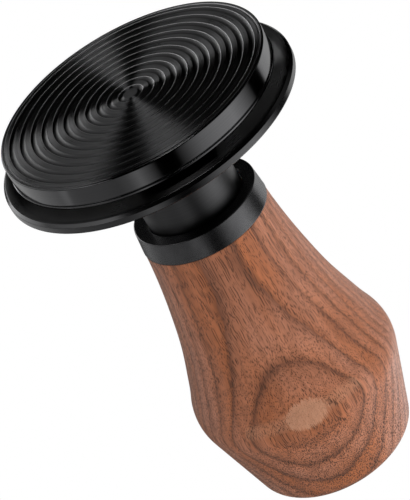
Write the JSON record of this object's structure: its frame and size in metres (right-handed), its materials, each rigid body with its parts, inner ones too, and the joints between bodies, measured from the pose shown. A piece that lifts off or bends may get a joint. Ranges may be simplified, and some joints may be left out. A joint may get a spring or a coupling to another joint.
{
  "type": "espresso tamper",
  "caption": "Spring-loaded self-levelling espresso tamper: ripple base, black levelling flange on a sliding neck, and a flared wooden handle.",
  "frame": {"origin": "centre of the ripple face, on the plane that the tamper stands on", "axes": "+Z along the shaft, from the ripple face towards the handle; X and Y are any two directions square to it, because the tamper is round"},
  "size_m": [0.0646, 0.0646, 0.0995],
  "materials": {
    "black_steel": "gloss black coating over turned stainless steel",
    "black_alloy": "gloss black anodised aluminium",
    "black_satin": "satin, finely blasted black anodised aluminium",
    "walnut": "satin oiled walnut",
    "stainless": "turned stainless steel",
    "spring_steel": "bright drawn spring wire",
    "liner_alloy": "turned aluminium",
    "black_screw": "black oxide",
    "bush_plastic": "natural acetal",
    "rubber": "matt nitrile rubber"
  },
  "bodies": {
    "base": {"ripple_base": "black_steel", "centre_shaft": "stainless", "base_bumper": "rubber", "retaining_ring": "spring_steel", "spring_spool": "stainless", "leveller_spring": "spring_steel", "main_spring": "spring_steel", "main_spring_seat": "stainless", "stop_bumper": "rubber", "stop_washer": "stainless", "retaining_screw": "black_screw"},
    "leveller_seat": {"leveller_spring_seat": "stainless"},
    "leveller": {"levelling_sleeve": "black_alloy", "leveller_bush": "bush_plastic"},
    "handle_seat": {"handle_spring_seat": "stainless"},
    "handle": {"handle_bush": "bush_plastic", "handle_liner": "liner_alloy", "neck_guide_bush": "bush_plastic", "ferrule": "black_satin", "wooden_handle": "walnut"}
  },
  "joints": [
    {"name": "leveller_slide", "type": "slide", "parent": "base", "child": "leveller_seat", "axis": [0, 0, 1], "range_m": [0, 0.01], "stiffness_N_per_m": 600, "springref_m": -0.008, "deforming": ["leveller_spring"]},
    {"name": "leveller_spin", "type": "hinge", "parent": "leveller_seat", "child": "leveller", "pos_m": [0, 0, 0], "axis": [0, 0, 1], "continuous": true},
    {"name": "handle_press", "type": "slide", "parent": "base", "child": "handle_seat", "axis": [0, 0, -1], "range_m": [0, 0.008], "stiffness_N_per_m": 6900, "springref_m": -0.01, "deforming": ["main_spring"]},
    {"name": "handle_spin", "type": "hinge", "parent": "handle_seat", "child": "handle", "pos_m": [0, 0, 0], "axis": [0, 0, 1], "continuous": true}
  ]
}
